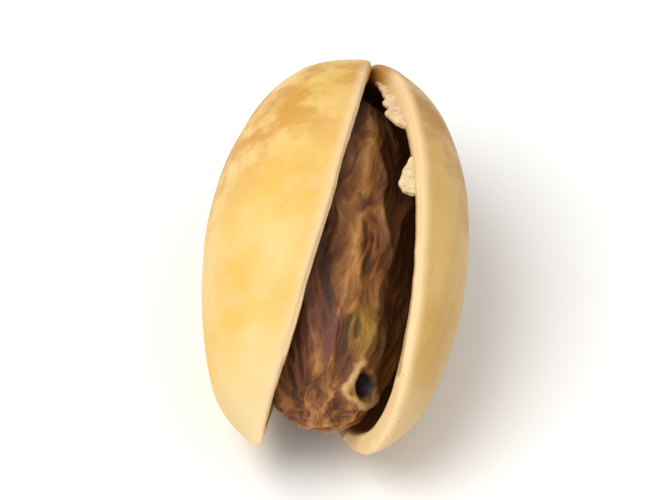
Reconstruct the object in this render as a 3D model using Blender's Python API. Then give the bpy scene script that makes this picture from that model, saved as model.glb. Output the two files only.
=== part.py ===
"""An open pistachio: two shell halves that gape from the stem end, and the kernel.

The nut lies on a small flat spot with its slit up. Metres, +Z up. The tips point to -Y
and the stem end to +Y. The origin is on the resting surface, under the middle of the nut.
"""

import math

import bmesh
import bpy
from mathutils import Matrix, Vector

MM = 0.001
LEFT, RIGHT = -1, 1  # which side of the seam plane a half lies on, along X

# Outside of the shell, before it opened
SHELL_LENGTH = 20.2 * MM  # stem end to tip, without the beak
SHELL_HEIGHT = 12.2 * MM  # along the seam plane, from slit edge to slit edge
HALF_DEPTH = {LEFT: 5.5 * MM, RIGHT: 4.6 * MM}  # from the seam plane to the belly
SHELL_FULLNESS = (0.15, 0.15)  # how much fuller the stem end is, in depth and in height
SHELL_BLUNTNESS = (0.06, 0.11)  # of the stem end and of the tip
SHELL_BOW = 0.5 * MM  # how far the middle rises above the line from stem to tip
BEAK_LENGTH = {LEFT: 1.1 * MM, RIGHT: 0.7 * MM}  # how far each tip is drawn out
BEAK_SHARPNESS = 8  # higher keeps the beak to the last of the tip

# Wall of the shell
SIDE_WALL = 0.8 * MM
STEM_WALL = 1.3 * MM
TIP_WALL = 0.6 * MM

# How the halves have come apart
SEAM_GAP = 0.3 * MM  # where they still meet
GAPE_ALONG = 0.292  # slit width gained per length towards the tips
GAPE_UPWARD = 0.288  # slit width gained per height up the seam plane
GAPE_START = 4.7 * MM  # along Y from the middle, at mid height
GAPE_SOFTNESS = 0.25 * MM  # rounds the end of the slit
TIP_TWIST = 0.6 * MM  # the right tip stands this much too high and the left too low

# Kernel
KERNEL_LENGTH = 17.8 * MM
KERNEL_DEPTH = 7.9 * MM
KERNEL_HEIGHT = 7.7 * MM
KERNEL_FULLNESS = (-0.07, 0.27)  # deeper towards the tips and higher towards the stem
KERNEL_BLUNTNESS = (0.04, 0.12)  # of the stem end and of the tip end
KERNEL_PLACE = Vector((-0.17, -1.1, 0.52)) * MM  # from the middle of the shell
KERNEL_TURN = (math.radians(4.5), math.radians(-3), math.radians(1))  # tip end lowered

# How the nut lies
ROLL = math.radians(18)  # slit turned towards +X
PITCH = math.radians(5.5)  # tips lowered
FLAT_DEPTH = 0.42 * MM  # taken off the shell where it rests

# Facets
SHELL_SEGMENTS = 40
SHELL_RINGS = 30
KERNEL_SEGMENTS = 32
KERNEL_RINGS = 24
SMOOTH_ANGLE = math.radians(35)
ON_SEAM = 1e-5  # how near the seam plane counts as on it, in radii

# Colours are linear RGB
SHELL_CREAM = (0.82, 0.60, 0.23)
SHELL_TAN = (0.62, 0.40, 0.13)
SKIN_BROWN = (0.19, 0.065, 0.018)
SHELL_ROUGHNESS = 0.5
SKIN_ROUGHNESS = 0.6


def clear_scene():
    for scene_object in list(bpy.data.objects):
        bpy.data.objects.remove(scene_object, do_unlink=True)


def matt_material(name, colour, roughness):
    """A dull, non-metallic finish."""
    material = bpy.data.materials.new(name)
    material.use_nodes = True
    shader = material.node_tree.nodes["Principled BSDF"]
    shader.inputs["Base Color"].default_value = (*colour, 1.0)
    shader.inputs["Roughness"].default_value = roughness
    shader.inputs["Metallic"].default_value = 0.0
    material.diffuse_color = (*colour, 1.0)
    return material


def unit_sphere(segments, rings):
    """A sphere with its poles on Y and one meridian on the seam plane, x = 0."""
    sphere = bmesh.new()
    bmesh.ops.create_uvsphere(
        sphere,
        u_segments=segments,
        v_segments=rings,
        radius=1.0,
        matrix=Matrix.Rotation(math.pi / 2, 4, "X"),
    )
    return sphere


def egg_point(direction, half_sizes, fullness, bluntness):
    """Where a point of the unit sphere lies on an egg with its stem end at +Y."""
    along = direction.y
    across = max(1.0 - along * along, 0.0) ** 0.5
    stemward = (1.0 + along) / 2
    blunt = bluntness[0] * stemward + bluntness[1] * (1.0 - stemward)
    swell = across**-blunt if across > 0.0 else 0.0
    return Vector(
        (
            direction.x * swell * (1.0 + fullness[0] * along) * half_sizes.x,
            along * half_sizes.y,
            direction.z * swell * (1.0 + fullness[1] * along) * half_sizes.z,
        )
    )


def gape(point):
    """Width of the slit at a place on the seam plane; it never falls to less than the seam."""
    opening = GAPE_ALONG * (GAPE_START - point.y) + GAPE_UPWARD * point.z
    return SEAM_GAP + GAPE_SOFTNESS * math.log1p(math.exp(opening / GAPE_SOFTNESS))


def shell_point(direction, side, inside):
    """Where a point of the unit sphere lies on the outer or the inner skin of a half."""
    side_wall, stem_wall, tip_wall = (SIDE_WALL, STEM_WALL, TIP_WALL) if inside else (0, 0, 0)
    half_sizes = Vector(
        (
            HALF_DEPTH[side] - side_wall,
            (SHELL_LENGTH - stem_wall - tip_wall) / 2,
            SHELL_HEIGHT / 2 - side_wall,
        )
    )
    point = egg_point(direction, half_sizes, SHELL_FULLNESS, SHELL_BLUNTNESS)
    tipward = (1.0 - direction.y) / 2
    point.y += (tip_wall - stem_wall) / 2
    if not inside:
        point.y -= BEAK_LENGTH[side] * tipward**BEAK_SHARPNESS
    point.z += SHELL_BOW * (1.0 - direction.y**2) + side * TIP_TWIST * tipward
    point.x += side * gape(point) / 2
    return point


def half_skin(side, inside):
    """One skin of a half, open along the seam, as a mesh."""
    skin = unit_sphere(SHELL_SEGMENTS, SHELL_RINGS)
    bmesh.ops.bisect_plane(
        skin,
        geom=skin.verts[:] + skin.edges[:] + skin.faces[:],
        dist=ON_SEAM,
        plane_co=(0, 0, 0),
        plane_no=(side, 0, 0),
        clear_inner=True,
    )
    for vertex in skin.verts:
        vertex.co = shell_point(vertex.co, side, inside)
    mesh = bpy.data.meshes.new("skin")
    skin.to_mesh(mesh)
    skin.free()
    return mesh


def half_shell_mesh(name, side):
    """A spoon-shaped wall: an outer and an inner skin joined by a rim along the seam."""
    wall = bmesh.new()
    for inside in (False, True):
        skin = half_skin(side, inside)
        wall.from_mesh(skin)
        bpy.data.meshes.remove(skin)
    rim = [edge for edge in wall.edges if edge.is_boundary]
    bmesh.ops.bridge_loops(wall, edges=rim)
    bmesh.ops.recalc_face_normals(wall, faces=wall.faces)
    mesh = bpy.data.meshes.new(name)
    wall.to_mesh(mesh)
    wall.free()
    return mesh


def kernel_mesh(name):
    """The seed, a blunt egg."""
    seed = unit_sphere(KERNEL_SEGMENTS, KERNEL_RINGS)
    half_sizes = Vector((KERNEL_DEPTH, KERNEL_LENGTH, KERNEL_HEIGHT)) / 2
    for vertex in seed.verts:
        vertex.co = egg_point(vertex.co, half_sizes, KERNEL_FULLNESS, KERNEL_BLUNTNESS)
    mesh = bpy.data.meshes.new(name)
    seed.to_mesh(mesh)
    seed.free()
    return mesh


def add_part(mesh, material, nut):
    """Puts a smooth-shaded mesh in the scene as one part of the nut."""
    mesh.materials.append(material)
    mesh.shade_smooth()
    mesh.set_sharp_from_angle(angle=SMOOTH_ANGLE)
    part = bpy.data.objects.new(mesh.name, mesh)
    bpy.context.scene.collection.objects.link(part)
    part.parent = nut
    return part


def world_corners(parts):
    """Lowest and highest corner of the parts' own points, in the world."""
    bpy.context.view_layer.update()
    points = [part.matrix_world @ vertex.co for part in parts for vertex in part.data.vertices]
    low = Vector([min(point[axis] for point in points) for axis in range(3)])
    high = Vector([max(point[axis] for point in points) for axis in range(3)])
    return low, high


def cut_flat_spot(halves, size):
    """Takes everything below the resting surface off the shell."""
    mesh = bpy.data.meshes.new("flat_spot_cutter")
    block = bmesh.new()
    bmesh.ops.create_cube(block, size=1.0)
    bmesh.ops.scale(block, vec=(2 * size.x, 2 * size.y, size.z), verts=block.verts)
    bmesh.ops.translate(block, vec=(0, 0, -size.z / 2), verts=block.verts)
    block.to_mesh(mesh)
    block.free()
    cutter = bpy.data.objects.new(mesh.name, mesh)
    bpy.context.scene.collection.objects.link(cutter)
    cutter.hide_render = True
    cutter.display_type = "WIRE"
    for half in halves:
        cut = half.modifiers.new("flat spot", "BOOLEAN")
        cut.operation = "DIFFERENCE"
        cut.solver = "EXACT"
        cut.object = cutter


def main():
    clear_scene()
    nut = bpy.data.objects.new("nut", None)
    bpy.context.scene.collection.objects.link(nut)
    nut.rotation_mode = "YXZ"
    nut.rotation_euler = (PITCH, ROLL, 0)

    cream = matt_material("shell_cream", SHELL_CREAM, SHELL_ROUGHNESS)
    tan = matt_material("shell_tan", SHELL_TAN, SHELL_ROUGHNESS)
    brown = matt_material("kernel_skin", SKIN_BROWN, SKIN_ROUGHNESS)
    halves = [
        add_part(half_shell_mesh("shell_half_left", LEFT), cream, nut),
        add_part(half_shell_mesh("shell_half_right", RIGHT), tan, nut),
    ]
    kernel = add_part(kernel_mesh("kernel"), brown, nut)
    kernel.location = KERNEL_PLACE
    kernel.rotation_euler = KERNEL_TURN

    low, high = world_corners(halves)
    middle = (low + high) / 2
    nut.location = (-middle.x, -middle.y, -low.z - FLAT_DEPTH)
    cut_flat_spot(halves, high - low)


main()
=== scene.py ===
import math

import bpy
import numpy as np
from mathutils import Euler, Matrix, Vector, noise


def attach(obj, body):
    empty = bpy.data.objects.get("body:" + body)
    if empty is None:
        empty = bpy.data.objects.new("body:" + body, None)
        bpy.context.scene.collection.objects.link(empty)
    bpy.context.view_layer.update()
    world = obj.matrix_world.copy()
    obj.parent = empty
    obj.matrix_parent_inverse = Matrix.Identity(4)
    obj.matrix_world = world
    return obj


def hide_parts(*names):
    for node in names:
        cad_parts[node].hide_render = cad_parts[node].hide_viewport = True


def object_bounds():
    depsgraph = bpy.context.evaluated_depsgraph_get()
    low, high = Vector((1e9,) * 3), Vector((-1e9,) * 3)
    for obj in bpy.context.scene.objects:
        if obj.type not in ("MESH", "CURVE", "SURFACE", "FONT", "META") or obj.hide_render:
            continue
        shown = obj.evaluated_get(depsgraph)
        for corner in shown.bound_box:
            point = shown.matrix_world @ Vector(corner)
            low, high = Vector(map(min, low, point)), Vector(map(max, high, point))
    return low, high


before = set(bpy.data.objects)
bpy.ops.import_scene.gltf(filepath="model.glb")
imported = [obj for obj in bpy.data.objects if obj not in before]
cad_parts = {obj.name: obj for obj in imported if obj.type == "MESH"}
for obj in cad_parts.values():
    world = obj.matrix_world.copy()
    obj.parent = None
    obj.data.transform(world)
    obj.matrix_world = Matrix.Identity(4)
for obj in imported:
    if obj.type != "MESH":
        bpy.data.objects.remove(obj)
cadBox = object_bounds()
print("Frame loaded:", ", ".join(sorted(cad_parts)))

# Pieces are modelled in millimetres with the nut upright: stem end towards +Y, slit up
# and its middle at the origin. Then they are scaled down and laid where the CAD nodes lie.
millimetres = 1000.0
left, right = -1, 1  # side of the seam plane, along X

nutLie = {
    "pitchDegrees": 5.5,  # tips lowered
    "rollDegrees": 18.0,  # slit turned towards +X
    "stemPole": (-0.15, 10.1, 0.0),  # end of the left half, upright
}


def findUpright():
    lie = Euler((math.radians(nutLie["pitchDegrees"]), math.radians(nutLie["rollDegrees"]), 0), "YXZ")
    stand = lie.to_matrix().inverted()
    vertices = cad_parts["shell_half_left"].data.vertices
    pole = max((stand @ vertex.co * millimetres for vertex in vertices), key=lambda point: point.y)
    shift = Matrix.Translation(Vector(nutLie["stemPole"]) - pole)
    return shift @ stand.to_4x4() @ Matrix.Scale(millimetres, 4)


toUpright = findUpright()
toLie = toUpright.inverted()


def selectOnly(piece):
    bpy.ops.object.select_all(action="DESELECT")
    piece.select_set(True)
    bpy.context.view_layer.objects.active = piece


def applyModifier(piece, kind, **settings):
    modifier = piece.modifiers.new(kind.title(), kind)
    for name, value in settings.items():
        setattr(modifier, name, value)
    selectOnly(piece)
    bpy.ops.object.modifier_apply(modifier=modifier.name)


def readPoints(piece, what="co"):
    values = np.zeros(len(piece.data.vertices) * 3, np.float32)
    piece.data.vertices.foreach_get(what, values)
    return values.reshape(-1, 3).astype(float)


def movePoints(piece, points):
    piece.data.vertices.foreach_set("co", points.astype(np.float32).ravel())
    piece.data.update()


def keepMask(piece, name, values):
    layer = piece.data.attributes.new(name, "FLOAT", "POINT")
    layer.data.foreach_set("value", np.clip(values, 0, 1).astype(np.float32))


def keepPlaces(piece, name, points):
    layer = piece.data.attributes.new(name, "FLOAT_VECTOR", "POINT")
    layer.data.foreach_set("vector", points.astype(np.float32).ravel())


def rise(low, high, values):
    # 0 below low, 1 above high, smooth between
    share = np.clip((values - low) / (high - low), 0, 1)
    return share * share * (3 - 2 * share)


def hump(values, middle, width):
    return np.exp(-(((values - middle) / width) ** 2))


def wander(points, scale, seed):
    # smooth noise from -1 to 1; scale is one number per axis, in waves per millimetre
    places = points * np.array(scale) + seed * 17.31
    return np.array([noise.noise(Vector(place)) for place in places])


def wrinkles(points, scale, seed):
    # 1 on narrow crests, falling to 0 between them
    return (1 - np.abs(wander(points, scale, seed))) ** 3


def grainOf(points, radius):
    # a point's place on a barrel round the long axis, so that patterns run from stem to tip;
    # near the ends, where the barrel would pinch them together, it is flat
    across = points[:, [0, 2]]
    length = np.maximum(np.linalg.norm(across, axis=1), 0.55 * radius)
    turned = across / length[:, None] * radius
    return np.column_stack([turned[:, 0], points[:, 1], turned[:, 1]])


def copyNode(nodeName, pieceName):
    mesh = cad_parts[nodeName].data.copy()
    mesh.name = pieceName
    mesh.materials.clear()
    mesh.transform(toUpright)
    piece = bpy.data.objects.new(pieceName, mesh)
    bpy.context.collection.objects.link(piece)
    selectOnly(piece)
    bpy.ops.object.mode_set(mode="EDIT")
    bpy.ops.mesh.select_mode(type="VERT")
    bpy.ops.mesh.select_all(action="SELECT")
    bpy.ops.mesh.remove_doubles(threshold=0.002)
    bpy.ops.mesh.tris_convert_to_quads(face_threshold=math.radians(60), shape_threshold=math.radians(60))
    bpy.ops.object.mode_set(mode="OBJECT")
    return piece


def squeeze(piece, place, reach, factors):
    # scales the point nearest to a place, and what lies round it, about that place
    mesh = piece.data
    nearest = int(np.argmin(np.linalg.norm(readPoints(piece) - np.array(place), axis=1)))
    for elements in (mesh.vertices, mesh.edges, mesh.polygons):
        elements.foreach_set("select", np.zeros(len(elements), bool))
    mesh.vertices[nearest].select = True
    selectOnly(piece)
    bpy.ops.object.mode_set(mode="EDIT")
    soft = {"use_proportional_edit": True, "proportional_edit_falloff": "SMOOTH", "proportional_size": reach}
    bpy.ops.transform.resize(value=factors, center_override=place, **soft)
    bpy.ops.object.mode_set(mode="OBJECT")


def layDown(piece):
    # to metres and into the nut's lie, kept above the table and inside the CAD box
    piece.data.transform(toLie)
    low, high = (np.array(corner) for corner in cadBox)
    movePoints(piece, np.clip(readPoints(piece), low, high))
    piece.data.polygons.foreach_set("use_smooth", np.ones(len(piece.data.polygons), bool))
    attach(piece, "root")
    print(f"  {piece.name}: {len(piece.data.polygons)} faces")


# Materials

def linear(hexColour):
    # sRGB hex to linear
    parts = [int(hexColour[place:place + 2], 16) / 255 for place in (1, 3, 5)]
    return (*[part / 12.92 if part <= 0.04045 else ((part + 0.055) / 1.055) ** 2.4 for part in parts], 1.0)


def addNode(tree, kind, settings, sockets):
    # sockets: name or number -> a value, a hex colour, a node, or (node, output name)
    node = tree.nodes.new("ShaderNode" + kind)
    for name, value in settings.items():
        setattr(node, name, value)
    for key, value in sockets.items():
        named = [socket for socket in node.inputs if socket.enabled and socket.name == key]
        socket = node.inputs[key] if isinstance(key, int) else named[0]
        if isinstance(value, str):
            socket.default_value = linear(value)
        elif isinstance(value, bpy.types.Node):
            tree.links.new(next(output for output in value.outputs if output.enabled), socket)
        elif isinstance(value, tuple) and isinstance(value[0], bpy.types.Node):
            tree.links.new(value[0].outputs[value[1]], socket)
        else:
            socket.default_value = value
    return node


def startMaterial(name, settings):
    material = bpy.data.materials.new(name)
    material.use_nodes = True
    shader = material.node_tree.nodes["Principled BSDF"]
    for key, value in settings.items():
        shader.inputs[key].default_value = value
    return material, material.node_tree, shader


def paintLayers(tree, colour, layers):
    # each layer shows as strongly as its mask and its pattern say; a pattern begins at "from"
    # and is full at "to"
    for layer in layers:
        share = layer.get("most", 1.0)
        if "pattern" in layer:
            spread = {"Value": (layer["pattern"], 0), "From Min": layer["from"], "From Max": layer["to"], "To Max": share}
            share = addNode(tree, "MapRange", {"interpolation_type": "SMOOTHSTEP"}, spread)
        if "mask" in layer:
            share = addNode(tree, "Math", {"operation": "MULTIPLY"}, {0: layer["mask"], 1: share})
        colour = addNode(tree, "Mix", {"data_type": "RGBA"}, {"Factor": share, "A": colour, "B": layer["colour"]})
    return colour


# Nutshell is the fruit's woody stone, dried and roasted: smooth, dull and a little waxy,
# cream with golden stains and faint fibres from stem to tip.
def makeShellMaterial(name, tone):
    material, tree, shader = startMaterial(name, {
        "IOR": 1.5,
        "Subsurface Weight": 0.12,
        "Subsurface Radius": (1.0, 0.55, 0.25),
        "Subsurface Scale": 0.0005,
    })
    place = addNode(tree, "Attribute", {"attribute_name": "upright"}, {})
    grain = addNode(tree, "Attribute", {"attribute_name": "grain"}, {})
    masks = {
        mask: (addNode(tree, "Attribute", {"attribute_name": mask}, {}), "Fac")
        for mask in ("rim", "inside", "stem", "golden", "seam", "tip")
    }
    clouds = addNode(tree, "TexNoise", {}, {
        "Vector": (place, "Vector"), "Scale": 0.24, "Detail": 4.0, "Roughness": 0.55,
    })
    patches = addNode(tree, "TexNoise", {}, {
        "Vector": (place, "Vector"), "Scale": 0.55, "Detail": 3.0, "Roughness": 0.6,
    })
    stretched = addNode(tree, "VectorMath", {"operation": "MULTIPLY"}, {
        0: (grain, "Vector"), 1: (1.5, 0.14, 1.5),
    })
    fibres = addNode(tree, "TexNoise", {}, {
        "Vector": stretched, "Scale": 1.0, "Detail": 6.0, "Roughness": 0.62, "Distortion": 0.4,
    })
    finer = addNode(tree, "VectorMath", {"operation": "MULTIPLY"}, {0: (grain, "Vector"), 1: (9.0, 1.1, 9.0)})
    threads = addNode(tree, "TexNoise", {}, {"Vector": finer, "Scale": 1.0, "Detail": 3.0, "Roughness": 0.6})
    pores = addNode(tree, "TexVoronoi", {}, {"Vector": (place, "Vector"), "Scale": 1.5, "Randomness": 1.0})

    spotted = addNode(tree, "MapRange", {"interpolation_type": "SMOOTHSTEP"}, {
        "Value": (clouds, 0), "From Min": 0.5, "From Max": 0.6,
    })
    colour = paintLayers(tree, tone["cream"], [
        {"colour": tone["yellow"], "pattern": clouds, "from": 0.36, "to": 0.64},
        {"colour": tone["peach"], "pattern": patches, "from": 0.5, "to": 0.72, "most": 0.6},
        {"colour": tone["olive"], "pattern": fibres, "from": 0.52, "to": 0.72, "most": 0.42},
        {"colour": tone["golden"], "pattern": patches, "from": 0.36, "to": 0.6, "mask": masks["golden"]},
        {"colour": tone["fibre"], "pattern": threads, "from": 0.5, "to": 0.75, "most": 0.16},
        {"colour": tone["stem"], "mask": masks["stem"], "most": 0.85},
        {"colour": tone["tip"], "mask": masks["tip"], "most": 0.6},
        {"colour": tone["inside"], "mask": masks["inside"], "most": 0.95},
        {"colour": tone["seam"], "mask": masks["seam"], "most": 0.6},
        # the pale torn rim face, with a painted highlight along the rim's rounded outer edge
        {"colour": tone["rim"], "mask": masks["rim"], "most": 0.85},
        {"colour": tone["speck"], "pattern": pores, "from": 0.12, "to": 0.05, "most": 0.4, "mask": spotted},
    ])
    height = addNode(tree, "Math", {"operation": "MULTIPLY_ADD"}, {0: (threads, 0), 1: 0.35, 2: (fibres, 0)})
    bump = addNode(tree, "Bump", {}, {"Strength": 0.55, "Distance": 0.00006, "Height": height})
    sheen = addNode(tree, "MapRange", {}, {
        "Value": (patches, 0), "From Min": 0.3, "From Max": 0.7, "To Min": 0.42, "To Max": 0.58,
    })
    tree.links.new(colour.outputs[2], shader.inputs["Base Color"])
    tree.links.new(sheen.outputs[0], shader.inputs["Roughness"])
    tree.links.new(bump.outputs[0], shader.inputs["Normal"])
    return material


shellTones = {
    "left": {
        "cream": "#E8C276", "yellow": "#E1B655", "peach": "#ECBF80", "olive": "#D2B358", "golden": "#CE9534",
        "fibre": "#C79A4C", "stem": "#CF8F45", "tip": "#E6CFA0", "inside": "#A87A42", "seam": "#8E5F28",
        "rim": "#F3CFA0", "speck": "#B08040",
    },
    "right": {
        "cream": "#D3AE68", "yellow": "#C79C4E", "peach": "#D4AA70", "olive": "#B7954A", "golden": "#B27F33",
        "fibre": "#A87D3B", "stem": "#BD7F3E", "tip": "#E0C596", "inside": "#8C6233", "seam": "#7D5122",
        "rim": "#EDCC98", "speck": "#99682F",
    },
}


# Seed coat of a roasted kernel: a dry papery skin, shrunk into fine wrinkles, red-brown
# with purplish and greenish places; the paler crests are painted highlight, and the furrows, the pit and the parts
# under the rims get painted shade.
def makeSkinMaterial(name):
    material, tree, shader = startMaterial(name, {
        "IOR": 1.45, "Subsurface Weight": 0.05, "Subsurface Scale": 0.0003,
    })
    place = addNode(tree, "Attribute", {"attribute_name": "upright"}, {})
    grain = addNode(tree, "Attribute", {"attribute_name": "grain"}, {})
    masks = {
        mask: (addNode(tree, "Attribute", {"attribute_name": mask}, {}), "Fac")
        for mask in ("crest", "green", "purple", "pit", "curl", "dark")
    }

    warped = addNode(tree, "VectorMath", {"operation": "MULTIPLY"}, {
        0: (grain, "Vector"), 1: (0.9, 0.34, 0.9),
    })
    streaks = addNode(tree, "TexNoise", {}, {
        "Vector": warped, "Scale": 1.0, "Detail": 5.0, "Roughness": 0.6, "Distortion": 1.2,
    })
    clouds = addNode(tree, "TexNoise", {}, {
        "Vector": (place, "Vector"), "Scale": 0.5, "Detail": 4.0, "Roughness": 0.6,
    })
    finer = addNode(tree, "VectorMath", {"operation": "MULTIPLY"}, {0: (grain, "Vector"), 1: (5.0, 1.6, 5.0)})
    threads = addNode(tree, "TexNoise", {}, {
        "Vector": finer, "Scale": 1.0, "Detail": 4.0, "Roughness": 0.65, "Distortion": 0.6,
    })
    colour = paintLayers(tree, "#5E2F10", [
        {"colour": "#935822", "pattern": streaks, "from": 0.34, "to": 0.62},
        {"colour": "#76401C", "pattern": clouds, "from": 0.5, "to": 0.72, "most": 0.7},
        # painted highlight on the wrinkle crests and the ridge, broken up by the streaks
        {"colour": "#BC8444", "pattern": streaks, "from": 0.3, "to": 0.6, "mask": masks["crest"]},
        {"colour": "#74403A", "pattern": clouds, "from": 0.3, "to": 0.6, "most": 0.75, "mask": masks["purple"]},
        {"colour": "#A07C26", "mask": masks["green"], "most": 0.8},
        {"colour": "#4A2610", "pattern": threads, "from": 0.52, "to": 0.75, "most": 0.45},
        # painted shade in the furrows, under the shell's rims and towards the stem
        {"colour": "#3A1D0B", "mask": masks["dark"], "most": 0.8},
        {"colour": "#CBA468", "mask": masks["curl"], "most": 0.9},
        # painted shade: the pit's hollow is painted near black
        {"colour": "#1E0D06", "mask": masks["pit"]},
    ])
    height = addNode(tree, "Math", {"operation": "MULTIPLY_ADD"}, {0: (threads, 0), 1: 0.6, 2: (streaks, 0)})
    bump = addNode(tree, "Bump", {}, {"Strength": 0.8, "Distance": 0.00012, "Height": height})
    sheen = addNode(tree, "MapRange", {}, {
        "Value": (clouds, 0), "From Min": 0.3, "From Max": 0.7, "To Min": 0.45, "To Max": 0.65,
    })
    tree.links.new(colour.outputs[2], shader.inputs["Base Color"])
    tree.links.new(sheen.outputs[0], shader.inputs["Roughness"])
    tree.links.new(bump.outputs[0], shader.inputs["Normal"])
    return material


# Torn wood: where the halves broke apart the fibres stand pale and rough.
def makeTornMaterial(name, pale, deep):
    material, tree, shader = startMaterial(name, {
        "IOR": 1.5, "Subsurface Weight": 0.15, "Subsurface Scale": 0.0003,
    })
    place = addNode(tree, "Attribute", {"attribute_name": "upright"}, {})
    shreds = addNode(tree, "TexNoise", {}, {
        "Vector": (place, "Vector"), "Scale": 3.2, "Detail": 5.0, "Roughness": 0.65,
    })
    share = addNode(tree, "MapRange", {"interpolation_type": "SMOOTHSTEP"}, {
        "Value": (shreds, 0), "From Min": 0.38, "From Max": 0.66,
    })
    colour = addNode(tree, "Mix", {"data_type": "RGBA"}, {"Factor": share, "A": pale, "B": deep})
    bump = addNode(tree, "Bump", {}, {"Strength": 0.8, "Distance": 0.00008, "Height": (shreds, 0)})
    rough = addNode(tree, "MapRange", {}, {
        "Value": (shreds, 0), "From Min": 0.3, "From Max": 0.7, "To Min": 0.6, "To Max": 0.8,
    })
    tree.links.new(colour.outputs[2], shader.inputs["Base Color"])
    tree.links.new(rough.outputs[0], shader.inputs["Roughness"])
    tree.links.new(bump.outputs[0], shader.inputs["Normal"])
    return material


# Shell halves
slit = {
    "seamGap": 0.3,  # between the CAD halves where they meet
    "along": 0.292,  # slit width gained per length towards the tips
    "upward": 0.288,  # and per height up the seam plane
    "start": 4.7,
    "softness": 0.25,
    "twist": 0.6,  # the right tip stands this much too high and the left too low
    "halfLength": 10.1,
}

shell = {
    "voxel": 0.095,
    "rimRound": 0.26,
    "overlap": 0.06,  # how far the closed seams lie in each other
    "seamReach": 3.0,
    "lumps": 0.14,
    "ribs": 0.05,
    "lip": 0.06,
    "rimWaves": 0.07,
    "beakReach": 3.4,
    "endStart": 8.6,  # beyond this an end counts as outside by its own direction
    "dimple": 0.16,  # depth of the hollow round the stem scar
    "dimpleRing": 0.06,  # height of the ring round that hollow
    "beaks": {left: (-2.3, -11.1, -0.5), right: (2.4, -10.7, 0.7)},
    "beakSqueeze": {left: (0.25, 1.0, 0.4), right: (0.75, 1.0, 0.8)},
}


def slitWidth(points):
    opening = slit["along"] * (slit["start"] - points[:, 1]) + slit["upward"] * points[:, 2]
    return slit["softness"] * np.log1p(np.exp(opening / slit["softness"]))


def makeHalf(nodeName, pieceName, side, tone):
    piece = copyNode(nodeName, pieceName)
    bpy.ops.object.mode_set(mode="EDIT")
    bpy.ops.mesh.select_mode(type="EDGE")
    bpy.ops.mesh.select_all(action="DESELECT")
    bpy.ops.mesh.edges_select_sharp(sharpness=math.radians(50))
    bpy.ops.mesh.bevel(offset=shell["rimRound"], segments=3, affect="EDGES")
    bpy.ops.object.mode_set(mode="OBJECT")
    applyModifier(piece, "SUBSURF", levels=2, render_levels=2)
    squeeze(piece, shell["beaks"][side], shell["beakReach"], shell["beakSqueeze"][side])
    applyModifier(piece, "REMESH", mode="VOXEL", voxel_size=shell["voxel"])
    applyModifier(piece, "SMOOTH", factor=0.5, iterations=6)

    points = readPoints(piece)
    normals = readPoints(piece, "normal")
    radial = points * np.array([1, 0, 1])
    radial /= np.maximum(np.linalg.norm(radial, axis=1), 1e-6)[:, None]
    outward = (normals * radial).sum(1)
    endward = np.maximum(outward, normals[:, 1] * np.sign(points[:, 1]))
    outward = np.where(np.abs(points[:, 1]) > shell["endStart"], endward, outward)
    width = slitWidth(points)
    fromRim = np.abs(points[:, 0]) - (slit["seamGap"] + width) / 2
    grain = grainOf(points, 5.0)
    outside = rise(-0.2, 0.4, outward)
    lumps = wander(points, (0.22, 0.16, 0.22), 1 + side) + 0.5 * wander(points, (0.6, 0.42, 0.6), 4 + side)
    ribs = wander(grain, (0.8, 0.07, 0.8), 7 + side) + 0.6 * wander(grain, (2.0, 0.16, 2.0), 9 + side)
    lip = hump(fromRim, 0.3, 0.45) * rise(0.2, 0.7, outward)
    move = shell["lumps"] * (lumps - 1) / 2 + shell["ribs"] * (ribs - 1) / 2 + shell["lip"] * lip
    points += normals * (move * outside)[:, None]

    # the rims aren't quite straight
    opened = rise(0.2, 1.0, width)
    waves = wander(points, (0.0, 0.45, 0.3), 21 + side) + 0.5 * wander(points, (0.3, 1.3, 0.8), 25 + side)
    points[:, 0] += shell["rimWaves"] * waves * opened * (1 - rise(0.0, 1.2, fromRim))

    # the CAD halves stand apart by a small gap and out of line by the twist; here they meet
    closed = (1 - rise(0.02, 0.6, width)) * (1 - rise(0, shell["seamReach"], fromRim))
    tipward = (1 - points[:, 1] / slit["halfLength"]) / 2
    points[:, 0] -= side * (slit["seamGap"] + shell["overlap"]) / 2 * closed
    points[:, 2] -= side * slit["twist"] * tipward * closed

    # hollow where the stalk came off
    fromPole = np.linalg.norm(points[:, [0, 2]], axis=1)
    stemEnd = rise(9.0, 9.6, points[:, 1]) * outside
    ring = shell["dimpleRing"] * hump(fromPole, 1.15, 0.3)
    points[:, 1] += stemEnd * (ring - shell["dimple"] * (1 - rise(0.3, 1.05, fromPole)))
    movePoints(piece, points)

    keepPlaces(piece, "upright", points)
    keepPlaces(piece, "grain", grain)
    inside = 1 - rise(-0.35, 0.05, outward)
    keepMask(piece, "inside", inside)
    # the pale rim face, spread onto the outer side as a painted highlight
    keepMask(piece, "rim", opened * (1 - rise(0.15, 0.75, fromRim)) * (1 - 0.5 * inside))
    keepMask(piece, "stem", 1 - rise(0.5, 2.6, np.linalg.norm(points - np.array((0, 10, 0)), axis=1)))
    keepMask(piece, "golden", rise(1.5, 7.5, points[:, 1] + 1.6 * points[:, 0] * side * 0.5))
    keepMask(piece, "seam", (1 - rise(0.1, 0.5, width)) * (1 - rise(0.03, 0.2, np.abs(points[:, 0]))) * outside)
    keepMask(piece, "tip", rise(7.5, 10.5, -points[:, 1]))
    piece.data.materials.append(makeShellMaterial("roasted_nutshell_" + tone, shellTones[tone]))
    layDown(piece)
    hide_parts(nodeName)
    return piece


leftHalf = makeHalf("shell_half_left", "shell_left", left, "left")
rightHalf = makeHalf("shell_half_right", "shell_right", right, "right")
print("Shell halves done")

# Splinters left along the right rim's inner edge
innerShell = {
    "halfLength": 9.15,
    "halfHeight": 5.3,
    "middle": -0.35,  # along Y
    "fullness": 0.15,
    "bluntness": (0.06, 0.11),  # of the stem end and of the tip
    "bow": 0.5,
    "stemwardDegrees": 63.0,  # how far from the middle the edge is followed
    "stepDegrees": 4.5,
}


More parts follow.
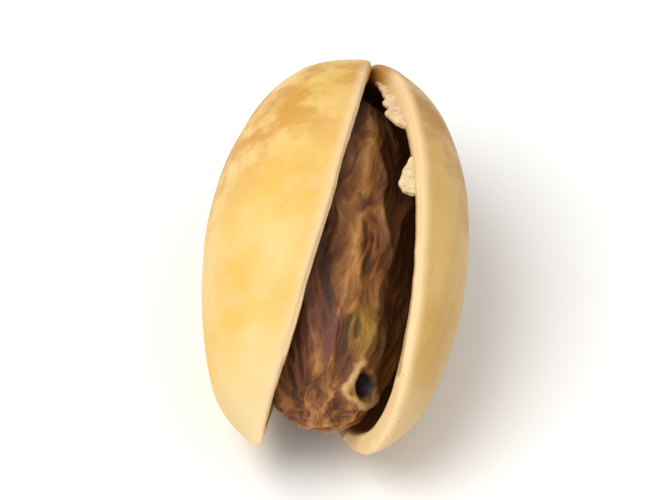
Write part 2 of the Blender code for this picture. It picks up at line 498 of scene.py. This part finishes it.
def findRimEdge():
    # (y, x, z) of the edge, worked out as the CAD does and kept to a hundredth of a millimetre
    angles = np.arange(0, innerShell["stemwardDegrees"] + innerShell["stepDegrees"] / 2, innerShell["stepDegrees"])
    along, across = np.sin(np.radians(angles)), np.cos(np.radians(angles))
    stemward, tipward = (1 + along) / 2, (1 - along) / 2
    blunt = innerShell["bluntness"][0] * stemward + innerShell["bluntness"][1] * tipward
    full = 1 + innerShell["fullness"] * along
    y = innerShell["halfLength"] * along + innerShell["middle"]
    z = innerShell["halfHeight"] * full * across ** (1 - blunt)
    z += innerShell["bow"] * (1 - along**2) + slit["twist"] * tipward
    x = (slit["seamGap"] + slitWidth(np.column_stack([0 * y, y, z]))) / 2
    return np.round(np.column_stack([y, x, z]), 2)


rimEdge = findRimEdge()

splinters = {
    "upper_splinter": {
        "reach": ((3.5, 0.0), (3.7, 0.4), (4.2, 0.62), (5.0, 0.56), (5.9, 0.42), (6.8, 0.26), (7.7, 0.08)),
        "seed": 3,
    },
    "lower_splinter": {
        "reach": ((-0.5, 0.0), (-0.38, 0.4), (0.0, 0.62), (0.5, 0.5), (1.0, 0.34), (1.6, 0.04)),
        "seed": 8,
    },
}


def makeSplinter(name, shape):
    along = [place for place, _ in shape["reach"]]
    bpy.ops.object.select_all(action="DESELECT")
    bpy.ops.mesh.primitive_grid_add(x_subdivisions=6, y_subdivisions=36, size=1)
    piece = bpy.context.object
    piece.name = piece.data.name = name
    points = readPoints(piece)
    across, down = points[:, 0] + 0.5, points[:, 1] + 0.5
    y = along[0] + down * (along[-1] - along[0])
    reach = np.interp(y, along, [width for _, width in shape["reach"]])
    ragged = 1 + 0.35 * wander(np.column_stack([y, across * 0, y * 0]), (2.4, 1, 1), shape["seed"])
    out = -0.35 + across * (0.35 + reach * ragged)
    edgeX, edgeZ = np.interp(y, rimEdge[:, 0], rimEdge[:, 1]), np.interp(y, rimEdge[:, 0], rimEdge[:, 2])
    movePoints(piece, np.column_stack([edgeX - out, y, edgeZ + 0.22 - 0.35 * np.maximum(out, 0)]))
    applyModifier(piece, "SOLIDIFY", thickness=0.26, offset=0)
    applyModifier(piece, "SUBSURF", levels=2, render_levels=2)
    points = readPoints(piece)
    points += readPoints(piece, "normal") * (0.05 * wander(points, (2.5, 1.6, 2.5), shape["seed"]))[:, None]
    movePoints(piece, points)
    keepPlaces(piece, "upright", points)
    piece.data.materials.append(makeTornMaterial("torn_shell_" + name, "#E6CFA2", "#CDA678"))
    layDown(piece)


for splinterName, splinterShape in splinters.items():
    makeSplinter(splinterName, splinterShape)
print("Splinters done")

# Scar of the stalk
scar = {"size": (0.78, 0.24, 0.7), "place": (0.0, 9.88, 0.0)}


def makeScar():
    bpy.ops.object.select_all(action="DESELECT")
    bpy.ops.mesh.primitive_uv_sphere_add(
        segments=48, ring_count=24, radius=1, rotation=(math.radians(90), 0, 0),
    )
    piece = bpy.context.object
    piece.name = piece.data.name = "stem_scar"
    bpy.ops.object.transform_apply(location=True, rotation=True, scale=True)
    points = readPoints(piece)
    ring = np.linalg.norm(points[:, [0, 2]], axis=1)
    points[:, 1] -= 0.55 * (1 - rise(0.1, 0.6, ring)) * np.sign(points[:, 1])
    points = points * np.array(scar["size"]) + np.array(scar["place"])
    points += readPoints(piece, "normal") * (0.07 * wander(points, (3.5, 3.5, 3.5), 5))[:, None]
    movePoints(piece, points)
    keepPlaces(piece, "upright", points)
    piece.data.materials.append(makeTornMaterial("stalk_scar_fibres", "#B98463", "#7C4B2C"))
    layDown(piece)


makeScar()
print("Stem scar done")

# Kernel in its skin
kernelShape = {
    "voxel": 0.09,
    "place": (-0.17, -1.1, 0.52),
    "turnDegrees": (4.5, -3.0, 1.0),
    "wrinkleDepth": 0.26,
    "fineDepth": 0.07,
    "ridge": (
        (0.02, 4.97, 4.25), (-0.09, 2.73, 4.66), (-0.02, -0.84, 4.43), (0.24, -3.94, 3.69), (0.3, -5.41, 3.19),
    ),
    "ridgeHeight": 0.14,
    "pit": (1.74, -8.13, 1.52),
    "pitSize": 0.6,
    "pitDepth": 0.6,
    "curl": 0.96,  # radius of the torn skin round the pit
    "curlHeight": 0.11,
    "green": (0.97, -6.11, 2.82),
    "purple": (-1.0, -6.3, 2.7),
}


def fromPath(points, path):
    nearest = np.full(len(points), 1e9)
    for start, end in zip(path, path[1:]):
        start, end = np.array(start), np.array(end)
        share = np.clip((points - start) @ (end - start) / ((end - start) @ (end - start)), 0, 1)
        nearest = np.minimum(nearest, np.linalg.norm(points - start - share[:, None] * (end - start), axis=1))
    return nearest


def makeKernel():
    piece = copyNode("kernel", "kernel_in_skin")
    applyModifier(piece, "SUBSURF", levels=2, render_levels=2)
    applyModifier(piece, "REMESH", mode="VOXEL", voxel_size=kernelShape["voxel"])
    applyModifier(piece, "SMOOTH", factor=0.5, iterations=3)
    points = readPoints(piece)
    normals = readPoints(piece, "normal")
    turn = Euler([math.radians(angle) for angle in kernelShape["turnDegrees"]]).to_matrix()
    own = (points - np.array(kernelShape["place"])) @ np.array(turn)
    grain = grainOf(own, 3.6)
    bent = grain + 0.5 * np.column_stack([wander(own, (0.45, 0.45, 0.45), seed) for seed in (31, 32, 33)])
    coarse = wrinkles(bent, (0.55, 0.17, 0.55), 41)
    fine = wrinkles(bent, (1.7, 0.6, 1.7), 43)
    ridge = hump(fromPath(points, kernelShape["ridge"]), 0, 0.32)
    move = kernelShape["wrinkleDepth"] * (coarse - 1) + kernelShape["fineDepth"] * (fine - 1)
    move += kernelShape["ridgeHeight"] * ridge
    fromPit = np.linalg.norm(points - np.array(kernelShape["pit"]), axis=1)
    fromPit *= 1 + 0.3 * wander(points, (1.3, 1.3, 1.3), 51) + 0.12 * wander(points, (3.5, 3.5, 3.5), 52)
    calm = rise(0.7, 1.6, fromPit)  # no wrinkles across the pit
    away = points - np.array(kernelShape["pit"])
    gap = rise(0.2, 0.75, (away @ np.array((0.75, 0.6, 0.3))) / np.maximum(fromPit, 1e-6))
    curl = hump(fromPit, kernelShape["curl"], 0.22) * (1 - gap)
    hole = 1 - rise(kernelShape["pitSize"] * 0.55, kernelShape["pitSize"] * 1.25, fromPit)
    move = move * calm + kernelShape["curlHeight"] * curl - kernelShape["pitDepth"] * hole
    points += normals * move[:, None]
    movePoints(piece, points)
    keepPlaces(piece, "upright", points)
    keepPlaces(piece, "grain", bent)
    # where the painted highlight lies: the wrinkle crests and the ridge
    keepMask(piece, "crest", rise(0.35, 0.95, 0.65 * coarse + 0.35 * fine + 0.4 * ridge))
    # painted shade: darker in the furrows, under the rims and towards the stem
    halfSlit = (slit["seamGap"] + slitWidth(points)) / 2
    shadeUnderShell = 1 - rise(0.0, 0.75, halfSlit - np.abs(points[:, 0] + 0.1))
    shadeUnderShell = np.maximum(shadeUnderShell, rise(3.5, 6.5, points[:, 1])) * rise(0, 2, points[:, 2])
    furrowShade = (1 - rise(0.1, 0.35, coarse)) * (1 - rise(0.3, 0.6, fine))
    keepMask(piece, "dark", np.maximum(furrowShade, 0.85 * shadeUnderShell))
    greenPlace = (points - np.array(kernelShape["green"])) / np.array((0.95, 1.7, 1.2))
    blotch = 1 + 0.35 * wander(points, (0.9, 0.9, 0.9), 61)
    keepMask(piece, "green", 1 - rise(0.15, 1.2, np.linalg.norm(greenPlace, axis=1) * blotch))
    purplePlace = (points - np.array(kernelShape["purple"])) / np.array((1.1, 2.6, 1.5))
    keepMask(piece, "purple", 1 - rise(0.4, 1.2, np.linalg.norm(purplePlace, axis=1)))
    keepMask(piece, "curl", rise(0.25, 0.75, curl))
    # the pit's hollow, painted near black as shade
    keepMask(piece, "pit", rise(0.15, 0.6, hole))
    piece.data.materials.append(makeSkinMaterial("roasted_seed_coat"))
    layDown(piece)
    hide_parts("kernel")
    return piece


kernel = makeKernel()
print("Kernel done")

# Stage
stageSet = {
    "floorSize": 3.0,
    "cameraAzimuth": 4.8,
    "cameraElevation": 47.5,
    "cameraDistance": 0.25,
    "aim": (-0.0002, 0.0, 0.0059),
    "frameHeight": 0.0232,
    "worldStrength": 0.7,
    "lights": {
        "key": {"azimuth": -55, "elevation": 62, "distance": 0.35, "size": 0.25, "power": 0.78},
        "fill": {"azimuth": 50, "elevation": 35, "distance": 0.4, "size": 0.3, "power": 0.1},
    },
}


def makeFloor():
    bpy.ops.object.select_all(action="DESELECT")
    bpy.ops.mesh.primitive_plane_add(size=stageSet["floorSize"], location=(0, 0, 0))
    floor = bpy.context.object
    floor.name = "floor"
    paper = startMaterial("matt_white_paper", {"Base Color": linear("#F4F4F3"), "Roughness": 0.9})[0]
    floor.data.materials.append(paper)


def lookFrom(azimuth, elevation):
    azimuth, elevation = math.radians(azimuth), math.radians(elevation)
    return Vector((
        math.sin(azimuth) * math.cos(elevation),
        -math.cos(azimuth) * math.cos(elevation),
        math.sin(elevation),
    ))


def addLight(name, settings):
    lamp = bpy.data.lights.new(name, "AREA")
    lamp.shape = "DISK"
    lamp.size = settings["size"]
    lamp.energy = settings["power"]
    holder = bpy.data.objects.new(name, lamp)
    bpy.context.collection.objects.link(holder)
    direction = lookFrom(settings["azimuth"], settings["elevation"])
    holder.location = direction * settings["distance"]
    holder.rotation_euler = direction.to_track_quat("Z", "Y").to_euler()


def makeCamera():
    data = bpy.data.cameras.new("camera")
    camera = bpy.data.objects.new("camera", data)
    bpy.context.collection.objects.link(camera)
    direction = lookFrom(stageSet["cameraAzimuth"], stageSet["cameraElevation"])
    camera.location = Vector(stageSet["aim"]) + direction * stageSet["cameraDistance"]
    camera.rotation_euler = direction.to_track_quat("Z", "Y").to_euler()
    data.sensor_width = 36
    data.lens = data.sensor_width * stageSet["cameraDistance"] / (stageSet["frameHeight"] * 666 / 500)
    data.clip_start, data.clip_end = 0.01, 10
    bpy.context.scene.camera = camera


makeFloor()
for lightName, lightSettings in stageSet["lights"].items():
    addLight(lightName, lightSettings)
world = bpy.data.worlds.new("studio")
world.use_nodes = True
world.node_tree.nodes["Background"].inputs["Color"].default_value = (1, 1, 1, 1)
world.node_tree.nodes["Background"].inputs["Strength"].default_value = stageSet["worldStrength"]
bpy.context.scene.world = world
bpy.context.scene.view_settings.view_transform = "Standard"
makeCamera()
print("Stage done")
